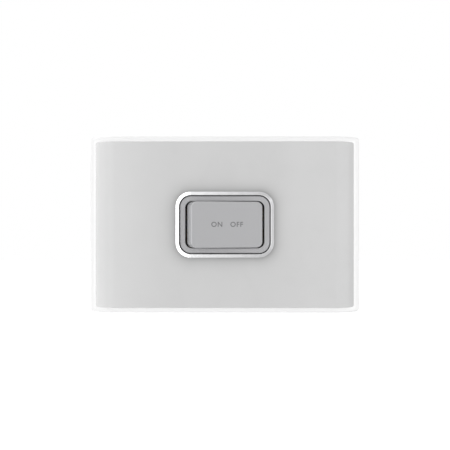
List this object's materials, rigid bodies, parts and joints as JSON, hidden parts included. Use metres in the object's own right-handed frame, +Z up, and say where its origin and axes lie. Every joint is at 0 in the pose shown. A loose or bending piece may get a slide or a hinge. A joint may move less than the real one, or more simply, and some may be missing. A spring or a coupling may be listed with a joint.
{
  "type": "cooker switch",
  "caption": "Wide flush wall switch for a cooker circuit: grey face in a white frame, with a sideways rocker inside a bright metal ring and a double-pole mechanism behind it.",
  "frame": {"origin": "centre of the wall plane, on the back of the plate's rim", "axes": "+X along the plate's width, +Y into the wall, so that the face looks to -Y, +Z up"},
  "size_m": [0.1474, 0.0441, 0.0954],
  "materials": {
    "frame_white": "satin white",
    "face_grey": "light grey satin",
    "bezel_chrome": "satin chrome",
    "collar_silver": "silver-grey lacquer",
    "rocker_silver": "silver-grey lacquer",
    "nylon": "natural nylon",
    "spring_steel": "drawn wire",
    "blade_copper": "tinned copper alloy",
    "contact_silver": "silver contact alloy",
    "strip_brass": "rolled brass",
    "terminal_brass": "turned brass",
    "screw_steel": "zinc plated",
    "base_grey": "moulded thermoset"
  },
  "bodies": {
    "base": {"backing_frame": "frame_white", "front_plate": "face_grey", "bezel_ring": "bezel_chrome", "rocker_surround": "collar_silver", "fixed_contact_live": "contact_silver", "fixed_contact_neutral": "contact_silver", "supply_strip_live": "strip_brass", "supply_strip_neutral": "strip_brass", "load_strip_live": "strip_brass", "load_strip_neutral": "strip_brass", "supply_terminal_live": "terminal_brass", "supply_terminal_neutral": "terminal_brass", "load_terminal_live": "terminal_brass", "load_terminal_neutral": "terminal_brass", "terminal_screws": "screw_steel", "switch_base": "base_grey", "case_screws": "screw_steel", "module_screws": "screw_steel", "earth_terminal": "terminal_brass", "earth_screw": "screw_steel"},
    "rocker_body": {"rocker": "rocker_silver", "plunger_live": "nylon", "plunger_neutral": "nylon", "plunger_spring_live": "spring_steel", "plunger_spring_neutral": "spring_steel"},
    "blade_live": {"contact_blade_live": "blade_copper", "moving_contact_live": "contact_silver"},
    "blade_neutral": {"contact_blade_neutral": "blade_copper", "moving_contact_neutral": "contact_silver"}
  },
  "joints": [
    {"name": "rocker_hinge", "type": "hinge", "parent": "base", "child": "rocker_body", "pos_m": [0, -0.0068, 0], "axis": [0, 0, 1], "range_deg": [-18, 0]},
    {"name": "blade_live_hinge", "type": "hinge", "parent": "base", "child": "blade_live", "pos_m": [0, 0.00981, 0.0075], "axis": [0, 0, 1], "range_deg": [0, 14]},
    {"name": "blade_neutral_hinge", "type": "hinge", "parent": "base", "child": "blade_neutral", "pos_m": [0, 0.00981, -0.0075], "axis": [0, 0, 1], "range_deg": [0, 14]}
  ],
  "couplings": [
    {"joint": "blade_live_hinge", "follows": "rocker_hinge", "ratio": -0.7777},
    {"joint": "blade_neutral_hinge", "follows": "rocker_hinge", "ratio": -0.7777}
  ]
}
